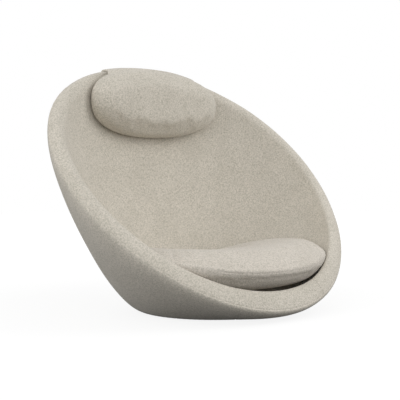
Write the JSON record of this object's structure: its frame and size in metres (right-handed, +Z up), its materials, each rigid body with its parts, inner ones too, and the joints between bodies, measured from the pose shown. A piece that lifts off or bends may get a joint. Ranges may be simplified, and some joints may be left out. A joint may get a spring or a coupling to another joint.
{
  "type": "pod chair",
  "caption": "Upholstered pod chair seat: a padded bowl with a sloping rolled rim, a loose seat cushion and a head cushion hung over the rim on a weighted flap.",
  "frame": {"origin": "centre of the foot and of the base bolt pattern, on the underside that rests on the floor or on a base", "axes": "+Z up; -Y the way the sitter faces, so the front lip is at -Y and the head cushion at +Y; +X the sitter's left. The pod is mirror-symmetric in X."},
  "size_m": [0.9234, 0.6657, 0.7022],
  "materials": {
    "cover": "nubby woven boucle, matt",
    "cover_side": "nubby woven boucle, matt",
    "cover_seat": "nubby woven boucle, matt",
    "foam": "open-cell foam, matt",
    "filling": "fibre wadding, matt",
    "shell": "moulded, matt",
    "steel": "black powder coat, satin",
    "fixings": "zinc plated",
    "plywood": "raw plywood, matt",
    "tack_board": "pressed board, matt",
    "felt": "needled felt, matt",
    "weights": "plain steel"
  },
  "bodies": {
    "pod": {"outer_cover": "cover_side", "outer_front_panel": "cover_side", "lining": "cover", "lip_panel": "cover", "floor_panel": "cover", "outer_foam": "foam", "inner_foam": "foam", "shell": "shell", "rim_tube": "steel", "base_plate": "steel", "weld_nuts": "fixings", "clamp_bolts": "fixings", "tee_nuts": "fixings", "seat_board": "plywood", "tack_ring": "tack_board", "felt_ring": "felt", "head_flap": "cover"},
    "seat_cushion": {"seat_cushion_foam": "foam", "seat_cushion_top": "cover_seat", "seat_cushion_base": "cover_seat"},
    "head_cushion": {"head_cushion_filling": "filling", "head_cushion_front": "cover", "head_cushion_back": "cover"},
    "counterweight": {"hem_pocket": "cover", "hem_weights": "weights"}
  },
  "joints": [
    {"name": "seat_lift", "type": "slide", "parent": "pod", "child": "seat_cushion", "axis": [0, -0.7242, 0.6896], "range_m": [0, 0.35]},
    {"name": "head_slide", "type": "slide", "parent": "pod", "child": "head_cushion", "axis": [0, -0.12, -0.9928], "range_m": [-0.01, 0.05], "deforming": ["head_flap"]},
    {"name": "counterweight_slide", "type": "slide", "parent": "pod", "child": "counterweight", "axis": [0, 0, 1], "range_m": [-0.01, 0.05]}
  ],
  "couplings": [
    {"joint": "counterweight_slide", "follows": "head_slide", "ratio": 1}
  ]
}
